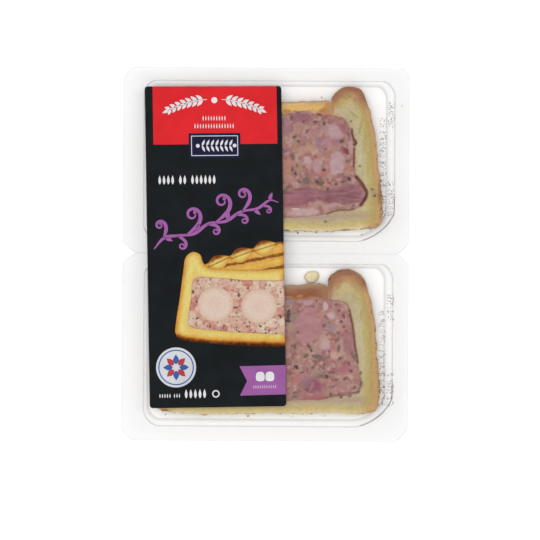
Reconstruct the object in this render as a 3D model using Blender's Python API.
"""Sealed twin tray with two slices of pate en croute.

A clear formed tray has two cells, one behind the other. Each holds a slice with its cut face up. A clear
film closes both, and a printed label is stuck on the film. The pack lies flat, label up: X runs across it,
Y along it and Z up, with the origin on the ground under the middle of the pack.
"""

import math

import bmesh
import bpy
import numpy as np

MM = 0.001
GAP = 0.3 * MM  # between pieces that touch

# Tray: the flanges of the two cells meet on a seam, between two notches
PACK_WIDTH = 143.2 * MM
PACK_LENGTH = 186.8 * MM
SEAM_Y = 0.45 * MM
TRAY_HEIGHT = 15.0 * MM
SHEET = 0.5 * MM

# Corners of a flange or a cell: (width, length, power). Power 2 is an ellipse, and 1 a straight cut
FLANGE_CORNERS = {
    "far_right": (4.3 * MM, 5.0 * MM, 1.6),
    "far_left": (6.0 * MM, 6.5 * MM, 1.5),
    "near_left": (6.2 * MM, 6.5 * MM, 1.5),
    "near_right": (6.8 * MM, 8.2 * MM, 1.5),
}
RIGHT_NOTCH = (5.5 * MM, 5.8 * MM, 1.2)
LEFT_NOTCH = (6.6 * MM, 5.8 * MM, 1.2)
CELL_CORNERS = {
    "far_right": (5.6 * MM, 7.5 * MM, 1.7),
    "far_left": (6.2 * MM, 6.0 * MM, 1.7),
    "near_left": (7.5 * MM, 8.0 * MM, 1.7),
    "near_right": (19.0 * MM, 15.4 * MM, 1.6),
}
CORNER_STEPS = 6

# Cells: (left, right, near, far) edges at the rim, and how far each wall leans in on its way to the floor
UPPER_CELL = (-60.9 * MM, 64.0 * MM, 7.0 * MM, 86.5 * MM)
LOWER_CELL = (-60.4 * MM, 63.4 * MM, -85.8 * MM, -5.0 * MM)
LEAN = (0.8 * MM, 2.9 * MM, 2.0 * MM, 0.9 * MM)
CORNER_SHRINK = 0.2  # share that a cell's corners lose on the way down
INSET_SHRINK = 20.0  # share that they lose for each metre of inset
RIM_ROUND = 0.5 * MM
FLOOR_ROUND = 0.9 * MM
ROUND_CUT = 0.3  # a round passes this share of its size from the sharp corner

# Film and label
FILM = 0.2 * MM
LABEL_WIDTH = 68.3 * MM
LABEL_LENGTH = 160.5 * MM
LABEL_THICKNESS = 0.2 * MM
LABEL_CORNER = (1.6 * MM, 1.6 * MM, 2)
LABEL_PLACE = (-25.1 * MM, 3.7 * MM)
LABEL_TURN = math.radians(1.25)

# Slices: each stands in its cell with the middle of its base at its place
SLICE_BOTTOM = SHEET + GAP
SLICE_THICKNESS = 11.5 * MM
SLICE_TURN = math.radians(0.35)
UPPER_PLACE = (2.25 * MM, 12.46 * MM)
LOWER_PLACE = (1.31 * MM, -79.54 * MM)

# Surface of the baked crust
CRUST_STEP = 1.8 * MM
INNER_STEP = 2.3 * MM
CRUST_LAYERS = 4
CRAG_HEIGHT = 0.28 * MM
CRAG_LENGTHS = (4.5 * MM, 7.0 * MM, 11.0 * MM)
CRIMP_HEIGHT = 0.4 * MM
CRIMP_LENGTH = 13.0 * MM  # from one pinch of the raised rim to the next, along the loaf
CRIMP_FROM = 60.0 * MM  # the pinches fade in above this height, over the next stretch
CRIMP_FADE = 8.0 * MM
BESIDE_LID = (33.0 * MM, 50.0 * MM, 66.0 * MM)  # the rim is smooth nearer the middle, between two heights
LID_END = 28.5 * MM  # beyond this the lid lies close to the rim, without relief

# Crumb of dough lying beside the lower slice
CRUMB_PLACE = (23.3 * MM, -11.15 * MM)
CRUMB_SIZE = (7.4 * MM, 5.0 * MM, 3.6 * MM)
CRUMB_TURN = math.radians(12)
CRUMB_FOOT = -0.34  # of its height, from the middle down to its flat underside


class Half:
    """One side of a loaf's section, in mm from the middle of the base: x to the side, y to the top.

    crust runs from the base round the raised rim to the rim's foot beside the lid, and cavity from there down
    the inner wall to the middle of the base. lid_top and lid_bottom run from the middle to the lid's end.
    """

    def __init__(self, crust, cavity, lid_top, lid_bottom):
        self.crust = np.array(crust) * MM
        self.cavity = np.array(cavity) * MM
        self.lid_top = np.array(lid_top) * MM
        self.lid_bottom = np.array(lid_bottom) * MM


# The right side of the upper slice, and the left side of the lower one: the filling bulges into the wall
BULGED = Half(
    crust=(
        (0, 0), (17, -0.3), (31, -0.3), (41, 0.4), (50.8, 0.9), (54.2, 2.1), (55.9, 5.2), (56.2, 14.6),
        (55.2, 23), (54.2, 31.4), (53.2, 43.8), (51.4, 53.4), (49.2, 61.6), (47.5, 66.8), (44.4, 70.8),
        (40.8, 71.9), (36.6, 71.3), (33.0, 68.6), (30.8, 65.2), (30.2, 61.4), (30.2, 57.4),
    ),
    cavity=(
        (30.2, 57.4), (34.0, 56.9), (37.4, 55.2), (40.2, 50.3), (42.2, 43.0), (42.2, 34.8), (43.2, 26.6),
        (46.8, 21.4), (48.6, 16.6), (45.6, 12.1), (40.8, 9.7), (34.0, 9.5), (27.4, 7.6), (14, 6.1), (0, 5.9),
    ),
    lid_top=((0, 63.7), (5.9, 63.8), (15.9, 64.2), (24, 64.5), (28.4, 64.7), (29.9, 63.6)),
    lid_bottom=((0, 57.9), (5.9, 57.6), (15.7, 59.6), (21, 58.6), (24.8, 56.9), (28.4, 57.5), (29.8, 58.4)),
)
# The right side of the lower slice, and the left side of the upper one: an even wall
STRAIGHT = Half(
    crust=(
        (0, 0), (16, -0.2), (31, 0.1), (43, -0.2), (51.5, 0.3), (54.6, 2.1), (56.0, 6.4), (56.2, 14.9),
        (55.4, 22.7), (54.8, 33.3), (54.0, 44.2), (52.8, 51.8), (50.9, 59.4), (49.2, 65.2), (46.4, 69.3),
        (42.8, 71.6), (38.4, 72.0), (34.8, 70.8), (31.6, 68.0), (30.6, 63.4), (30.4, 57.2),
    ),
    cavity=(
        (30.4, 57.2), (34.4, 56.6), (38.6, 55.9), (40.9, 53.2), (42.2, 46.8), (43.3, 38.4), (44.3, 32.4),
        (45.3, 25.6), (46.8, 15.4), (45.4, 10.9), (38.9, 8.9), (32.2, 8.2), (28.0, 7.0), (14, 6.4), (0, 5.9),
    ),
    lid_top=((0, 63.7), (9.1, 64.0), (16.4, 64.0), (21.9, 64.9), (27.4, 64.7), (29.9, 63.4)),
    lid_bottom=(
        (0, 57.9), (6.2, 58.4), (9.4, 58.7), (12.4, 57.1), (15.4, 56.2), (18, 57.3), (26.4, 57.0),
        (29.9, 58.2),
    ),
)

# Ovals in the filling: name, kind, centre x and y, half width and half height in mm, and turn in degrees
UPPER_PIECES = (
    ("upper_fat_medallion", "fat", 33.4, 33.0, 3.5, 6.2, 4),
    ("upper_fat_corner", "fat", 31.6, 49.0, 4.8, 3.9, -24),
    ("upper_fat_middle", "fat", 23.4, 31.8, 2.3, 3.2, 10),
    ("upper_ham_left", "ham", -22.0, 37.0, 7.6, 9.2, 28),
    ("upper_fat_left", "fat", -36.2, 24.0, 3.3, 5.2, -12),
)
LOWER_PIECES = (
    ("lower_ham_chunk", "ham", 20.6, 43.8, 7.2, 8.4, 8),
    ("lower_fat_right", "fat", 28.9, 33.6, 2.2, 2.4, 0),
    ("lower_lean_right", "ham", 22.6, 13.9, 4.2, 3.1, 12),
    ("lower_fat_middle", "fat", -4.0, 37.0, 4.4, 3.0, -20),
    ("lower_fat_left", "fat", -34.5, 36.0, 3.2, 5.6, 14),
    ("lower_lean_left", "ham", -32.0, 16.5, 8.6, 4.0, 6),
)
OVAL_POINTS = 22
OVAL_UNEVEN = 0.09  # share of an oval's radius

# A strip of ham low in the upper slice, from its left end clockwise
UPPER_STRIP = np.array((
    (-7.0, 16.4), (2.0, 19.6), (10.7, 19.8), (19.1, 21.3), (28.6, 19.7), (34.6, 22.0), (41.4, 22.8),
    (45.6, 18.4), (43.0, 13.6), (34.0, 13.0), (23.0, 14.5), (16.8, 12.5), (8.8, 10.9), (0.0, 11.6),
)) * MM

# Surfaces: (colour, roughness, alpha)
FINISHES = {
    "clear_plastic": ((0.90, 0.92, 0.92), 0.12, 0.25),
    "label_print": ((0.03, 0.03, 0.035), 0.45, 1.0),
    "crust": ((0.56, 0.40, 0.20), 0.65, 1.0),
    "crust_lid": ((0.50, 0.31, 0.14), 0.60, 1.0),
    "filling": ((0.36, 0.21, 0.20), 0.50, 1.0),
    "ham": ((0.38, 0.20, 0.20), 0.45, 1.0),
    "fat": ((0.52, 0.37, 0.36), 0.40, 1.0),
    "dough": ((0.68, 0.58, 0.36), 0.75, 1.0),
}


# Scene, objects and surfaces

def clear_scene():
    for old in list(bpy.data.objects):
        bpy.data.objects.remove(old, do_unlink=True)


def surface(name):
    """The material of this name, made on its first use."""
    found = bpy.data.materials.get(name)
    if found:
        return found
    colour, roughness, alpha = FINISHES[name]
    made = bpy.data.materials.new(name)
    made.use_nodes = True
    shader = made.node_tree.nodes["Principled BSDF"]
    shader.inputs["Base Color"].default_value = (*colour, 1)
    shader.inputs["Roughness"].default_value = roughness
    shader.inputs["Metallic"].default_value = 0
    shader.inputs["Alpha"].default_value = alpha
    return made


def finish(name, bm, kind, parent=None, smooth_below=35):
    """Turns the faces outwards and makes the named object, smooth where faces meet at less than the angle."""
    bmesh.ops.recalc_face_normals(bm, faces=bm.faces)
    mesh = bpy.data.meshes.new(name)
    bm.to_mesh(mesh)
    bm.free()
    mesh.shade_smooth()
    mesh.set_sharp_from_angle(angle=math.radians(smooth_below))
    mesh.materials.append(surface(kind))
    made = bpy.data.objects.new(name, mesh)
    bpy.context.collection.objects.link(made)
    made.parent = parent
    return made


# Curves and outlines

def smooth_path(points, step, closed=False):
    """A Catmull-Rom curve through the points, as points about a step apart."""
    if closed:
        padded = np.vstack((points[-1], points, points[:2]))
    else:
        padded = np.vstack((2 * points[0] - points[1], points, 2 * points[-1] - points[-2]))
    pieces_per_span = 24
    t = np.linspace(0, 1, pieces_per_span, endpoint=False)[:, None]
    spans = []
    for a, b, c, d in zip(padded, padded[1:], padded[2:], padded[3:]):
        square = 2 * a - 5 * b + 4 * c - d
        cube = 3 * b - a - 3 * c + d
        spans.append(0.5 * (2 * b + (c - a) * t + square * t**2 + cube * t**3))
    last = points[:1] if closed else points[-1:]
    fine = np.vstack(spans + [last])
    travelled = np.concatenate(([0], np.cumsum(np.linalg.norm(np.diff(fine, axis=0), axis=1))))
    wanted = np.linspace(0, travelled[-1], round(travelled[-1] / step) + 1)
    even = np.column_stack([np.interp(wanted, travelled, fine[:, k]) for k in (0, 1)])
    return even[:-1] if closed else even


def outward(loop):
    """The unit normals at a closed loop's points, away from the area that it goes round."""
    along = np.roll(loop, -1, axis=0) - np.roll(loop, 1, axis=0)
    normals = np.column_stack((along[:, 1], -along[:, 0]))
    normals /= np.linalg.norm(normals, axis=1)[:, None]
    x, y = loop.T
    area = np.sum(x * np.roll(y, -1) - np.roll(x, -1) * y)
    return normals if area > 0 else -normals


def corner(x, y, side_x, side_y, size):
    """A corner's round, from the upright side to the level one: a superellipse of the size's own power."""
    width, length, power = size
    angle = np.linspace(0, math.pi / 2, CORNER_STEPS + 1)
    cos = np.cos(angle).clip(0, 1) ** (2 / power)
    sin = np.sin(angle).clip(0, 1) ** (2 / power)
    return np.column_stack((x - side_x * width * (1 - cos), y - side_y * length * (1 - sin)))


def rounded_box(edges, sizes):
    """Goes round a box with its own round at each corner, counterclockwise from the far right one."""
    left, right, near, far = edges
    return np.vstack((
        corner(right, far, 1, 1, sizes["far_right"]),
        corner(left, far, -1, 1, sizes["far_left"])[::-1],
        corner(left, near, -1, -1, sizes["near_left"]),
        corner(right, near, 1, -1, sizes["near_right"])[::-1],
    ))


def flange_outline():
    """Both flanges in one outline: two rounded boxes that meet between two notches."""
    side = PACK_WIDTH / 2
    end = PACK_LENGTH / 2
    return np.vstack((
        corner(side, SEAM_Y, 1, -1, RIGHT_NOTCH)[::-1],
        corner(side, end, 1, 1, FLANGE_CORNERS["far_right"]),
        corner(-side, end, -1, 1, FLANGE_CORNERS["far_left"])[::-1],
        corner(-side, SEAM_Y, -1, -1, LEFT_NOTCH),
        corner(-side, SEAM_Y, -1, 1, LEFT_NOTCH)[::-1][1:],
        corner(-side, -end, -1, -1, FLANGE_CORNERS["near_left"]),
        corner(side, -end, 1, -1, FLANGE_CORNERS["near_right"])[::-1],
        corner(side, SEAM_Y, 1, 1, RIGHT_NOTCH)[:-1],
    ))


def turned(points, place, turn):
    """Points turned about the origin and then moved to a place."""
    cos, sin = math.cos(turn), math.sin(turn)
    x, y = points.T
    return np.column_stack((place[0] + x * cos - y * sin, place[1] + x * sin + y * cos))


def crag(points, z, seed):
    """Unevenness of about -1 to 1: two sine waves of each length in CRAG_LENGTHS, in random directions."""
    rng = np.random.default_rng(seed)
    places = np.column_stack((points, np.full(len(points), z)))
    total = np.zeros(len(points))
    for length in CRAG_LENGTHS * 2:
        direction = rng.normal(size=3)
        direction /= np.linalg.norm(direction)
        phase = rng.uniform(0, 2 * math.pi)
        total += np.sin(2 * math.pi / length * (places @ direction) + phase)
    return total / len(CRAG_LENGTHS)


# Solids from outlines

def ring(bm, loop, z):
    return [bm.verts.new((x, y, z)) for x, y in loop]


def wall(bm, lower, upper):
    for i, vertex in enumerate(lower):
        bm.faces.new((lower[i - 1], vertex, upper[i], upper[i - 1]))


def cap(bm, rings):
    """Fills the level area inside the first ring, less what is inside the others."""
    edges = []
    for vertices in rings:
        for i, vertex in enumerate(vertices):
            edges.append(bm.edges.get((vertices[i - 1], vertex)))
    bmesh.ops.triangle_fill(bm, use_beauty=True, edges=edges)


def prism(name, levels, kind, holes=(), parent=None):
    """A solid through loops of like length, given as [(loop, z)] from the bottom up, with upright holes."""
    bm = bmesh.new()
    rings = [ring(bm, loop, z) for loop, z in levels]
    for lower, upper in zip(rings, rings[1:]):
        wall(bm, lower, upper)
    bottom, top = levels[0][1], levels[-1][1]
    low_rings, high_rings = [rings[0]], [rings[-1]]
    for hole in holes:
        low_rings.append(ring(bm, hole, bottom))
        high_rings.append(ring(bm, hole, top))
        wall(bm, low_rings[-1], high_rings[-1])
    cap(bm, low_rings)
    cap(bm, high_rings)
    return finish(name, bm, kind, parent)


# Tray, film and label

def cell_loop(cell, down, inset):
    """A cell's outline where its wall is part of the way down, 0 to 1, and set further in by a distance."""
    signs = (1, -1, 1, -1)
    edges = [edge + sign * (down * lean + inset) for edge, lean, sign in zip(cell, LEAN, signs)]
    share = (1 - CORNER_SHRINK * down) * (1 - INSET_SHRINK * inset)
    sizes = {name: (width * share, length * share, power)
             for name, (width, length, power) in CELL_CORNERS.items()}
    return rounded_box(edges, sizes)


def cell_skin(bm, cell, top, bottom, inset):
    """One skin of a cell, from the flange down to its closed floor. Gives the ring at the flange."""
    rim_cut = ROUND_CUT * RIM_ROUND
    floor_cut = ROUND_CUT * FLOOR_ROUND
    down_at_rim = RIM_ROUND / TRAY_HEIGHT
    steps = (
        (top, 0, -RIM_ROUND),
        (top - rim_cut, 0, -rim_cut),
        (top - RIM_ROUND, down_at_rim, 0),
        (bottom + FLOOR_ROUND, 1 - FLOOR_ROUND / TRAY_HEIGHT, 0),
        (bottom + floor_cut, 1, floor_cut),
        (bottom, 1, FLOOR_ROUND),
    )
    rings = [ring(bm, cell_loop(cell, down, inset + extra), z) for z, down, extra in steps]
    for upper, lower in zip(rings, rings[1:]):
        wall(bm, lower, upper)
    cap(bm, [rings[-1]])
    return rings[0]


def make_tray():
    """Formed from one sheet: a flange, leaning walls and two flat floors, about as thick all over."""
    bm = bmesh.new()
    cells = (UPPER_CELL, LOWER_CELL)
    inner = [cell_skin(bm, cell, TRAY_HEIGHT, SHEET, 0) for cell in cells]
    outer = [cell_skin(bm, cell, TRAY_HEIGHT - SHEET, 0, -SHEET) for cell in cells]
    outline = flange_outline()
    upper_edge = ring(bm, outline, TRAY_HEIGHT)
    lower_edge = ring(bm, outline, TRAY_HEIGHT - SHEET)
    wall(bm, lower_edge, upper_edge)
    cap(bm, [upper_edge] + inner)
    cap(bm, [lower_edge] + outer)
    return finish("tray", bm, "clear_plastic")


def make_film():
    outline = flange_outline()
    film = prism("lid_film", [(outline, 0), (outline, FILM)], "clear_plastic")
    film.location.z = TRAY_HEIGHT + GAP


def make_label():
    edges = (-LABEL_WIDTH / 2, LABEL_WIDTH / 2, -LABEL_LENGTH / 2, LABEL_LENGTH / 2)
    outline = rounded_box(edges, dict.fromkeys(CELL_CORNERS, LABEL_CORNER))
    label = prism("label", [(outline, 0), (outline, LABEL_THICKNESS)], "label_print")
    label.location = (*LABEL_PLACE, TRAY_HEIGHT + GAP + FILM + GAP)
    label.rotation_euler.z = LABEL_TURN


# Slices, modelled in their own plane with their thickness upwards

class Slice:
    """One slice: two halves of the section, the left one mirrored, and an empty that its pieces hang on."""

    def __init__(self, prefix, left, right, place, seed):
        self.prefix = prefix
        self.left = left
        self.right = right
        self.seed = seed
        self.frame = bpy.data.objects.new(prefix + "_slice_frame", None)
        bpy.context.collection.objects.link(self.frame)
        self.frame.location = (*place, SLICE_BOTTOM)
        self.frame.rotation_euler.z = SLICE_TURN

    def across(self, part):
        """A part of the section from the left half's end, through the middle, to the right half's end."""
        mirrored = getattr(self.left, part)[::-1] * (-1, 1)
        return np.vstack((mirrored[:-1], getattr(self.right, part)))

    def cavity(self):
        """The inner wall from the right rim's foot, down and across to the left rim's foot."""
        return smooth_path(np.vstack((self.right.cavity, self.left.cavity[-2::-1] * (-1, 1))), INNER_STEP)

    def rough_levels(self, loop, relief, crimped):
        """The loop at each height of the slice, moved out by the baked relief where relief is above 0."""
        normals = outward(loop)
        on_rim = ((loop[:, 1] - CRIMP_FROM) / CRIMP_FADE).clip(0, 1) * crimped
        levels = []
        for z in np.linspace(0, SLICE_THICKNESS, CRUST_LAYERS):
            height = CRAG_HEIGHT * crag(loop, z, self.seed + crimped)
            height += CRIMP_HEIGHT * on_rim * math.cos(2 * math.pi * z / CRIMP_LENGTH + self.seed)
            levels.append((loop + normals * (height * relief)[:, None], z))
        return levels

    def make_crust(self):
        """A trough of dough: base, two walls and their raised rims, uneven outside and smooth inside."""
        outside = smooth_path(self.across("crust"), CRUST_STEP)
        inside = self.cavity()[1:-1]
        x, y = np.abs(outside[:, 0]), outside[:, 1]
        near, low, high = BESIDE_LID
        beside_lid = (x < near) & (y > low) & (y < high)
        relief = np.concatenate((np.where(beside_lid, 0, 1), np.zeros(len(inside))))
        levels = self.rough_levels(np.vstack((outside, inside)), relief, crimped=1)
        prism(self.prefix + "_crust", levels, "crust", parent=self.frame)

    def make_crust_lid(self):
        """The sheet of dough that covers the filling between the rims, uneven on top."""
        top = smooth_path(self.across("lid_top"), CRUST_STEP)[::-1]
        bottom = smooth_path(self.across("lid_bottom"), INNER_STEP)
        relief = np.concatenate((np.where(np.abs(top[:, 0]) < LID_END, 1, 0), np.zeros(len(bottom))))
        levels = self.rough_levels(np.vstack((top, bottom)), relief, crimped=0)
        prism(self.prefix + "_crust_lid", levels, "crust_lid", parent=self.frame)

    def make_piece(self, name, kind, loop):
        """A piece of meat or fat that runs through the slice. Gives the hole that it needs."""
        prism(name, [(loop, 0), (loop, SLICE_THICKNESS)], kind, parent=self.frame)
        return loop + outward(loop) * GAP

    def make_filling(self, holes):
        """The forcemeat, close to the inner wall and the lid, with the large pieces' holes."""
        under_lid = smooth_path(self.across("lid_bottom"), INNER_STEP)
        under_lid = under_lid[np.abs(under_lid[:, 0]) < LID_END]
        room = np.vstack((self.cavity(), under_lid))
        loop = room - outward(room) * GAP
        prism(self.prefix + "_filling", [(loop, 0), (loop, SLICE_THICKNESS)], "filling", holes, self.frame)


def oval(centre_x, centre_y, half_width, half_height, turn, seed):
    """An uneven oval, from sizes in mm: its radius swings by three sine waves round it."""
    angle = np.linspace(0, 2 * math.pi, OVAL_POINTS, endpoint=False)
    phases = np.random.default_rng(seed).uniform(0, 2 * math.pi, 3)
    swing = sum(np.sin((order + 2) * angle + phase) / (order + 1) for order, phase in enumerate(phases))
    radius = (1 + OVAL_UNEVEN * swing) * MM
    loop = np.column_stack((half_width * radius * np.cos(angle), half_height * radius * np.sin(angle)))
    return turned(loop, (centre_x * MM, centre_y * MM), math.radians(turn))


def make_slices():
    upper = Slice("upper", STRAIGHT, BULGED, UPPER_PLACE, seed=11)
    lower = Slice("lower", BULGED, STRAIGHT, LOWER_PLACE, seed=29)
    for cut, pieces in ((upper, UPPER_PIECES), (lower, LOWER_PIECES)):
        cut.make_crust()
        cut.make_crust_lid()
        holes = []
        for order, (name, kind, *shape) in enumerate(pieces):
            holes.append(cut.make_piece(name, kind, oval(*shape, seed=cut.seed + order)))
        if cut is upper:
            strip = smooth_path(UPPER_STRIP, INNER_STEP, closed=True)
            holes.append(cut.make_piece("upper_ham_strip", "ham", strip))
        cut.make_filling(holes)


def make_crumb():
    """A broken bit of dough on the cell's floor: a ball of few faces, squashed, lobed and flat underneath."""
    bm = bmesh.new()
    bmesh.ops.create_icosphere(bm, subdivisions=2, radius=0.5)
    for vertex in bm.verts:
        x, y, z = vertex.co
        swell = 1 + 0.08 * math.sin(5 * math.atan2(y, x) + 0.6) + 0.05 * math.sin(9 * z + 4 * x)
        place = (x * swell, y * swell, max(z, CRUMB_FOOT))
        vertex.co = [size * share for size, share in zip(CRUMB_SIZE, place)]
    crumb = finish("dough_crumb", bm, "dough", smooth_below=60)
    crumb.location = (*CRUMB_PLACE, SLICE_BOTTOM - CRUMB_FOOT * CRUMB_SIZE[2])
    crumb.rotation_euler.z = CRUMB_TURN


def main():
    clear_scene()
    make_tray()
    make_film()
    make_label()
    make_slices()
    make_crumb()


main()
